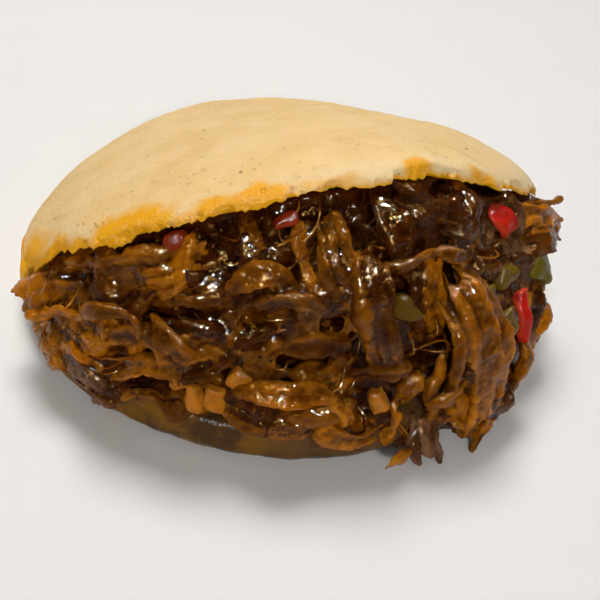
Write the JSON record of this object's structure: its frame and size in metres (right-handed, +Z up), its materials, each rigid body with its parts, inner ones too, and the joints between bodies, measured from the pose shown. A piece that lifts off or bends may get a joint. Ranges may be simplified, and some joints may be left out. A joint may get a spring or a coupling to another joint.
{
  "type": "shredded beef arepa",
  "caption": "Round corn bread split in two and opened at the front, with a heap of sauced shredded beef, peppers and onion bulging out between its halves.",
  "frame": {"origin": "centre of the footprint's box, on the surface that the lower half of bread rests on", "axes": "+Z up, +X to the right seen from the front, -Y towards the front; the mouth opens towards -Y, turned 22 degrees to +X"},
  "size_m": [0.1294, 0.1204, 0.0671],
  "materials": {
    "corn_crust": "griddled corn bread, matte and finely pored",
    "soaked_crust": "corn bread soaked with brown sauce, satin",
    "sauced_beef": "stewed beef fibres under a thin glossy sauce",
    "red_pepper": "soft cooked pepper, glossy",
    "green_pepper": "soft cooked pepper, glossy",
    "onion": "sauce-stained cooked onion, glossy and a little see-through"
  },
  "bodies": {
    "root": {"arepa_bottom": "soaked_crust", "arepa_top": "corn_crust", "shredded_beef": "sauced_beef", "red_pepper_1": "red_pepper", "red_pepper_2": "red_pepper", "red_pepper_3": "red_pepper", "red_pepper_4": "red_pepper", "green_pepper_1": "green_pepper", "green_pepper_2": "green_pepper", "green_pepper_3": "green_pepper", "green_pepper_4": "green_pepper", "green_pepper_5": "green_pepper", "onion_1": "onion", "onion_2": "onion", "onion_3": "onion", "onion_4": "onion", "onion_5": "onion"}
  },
  "joints": []
}
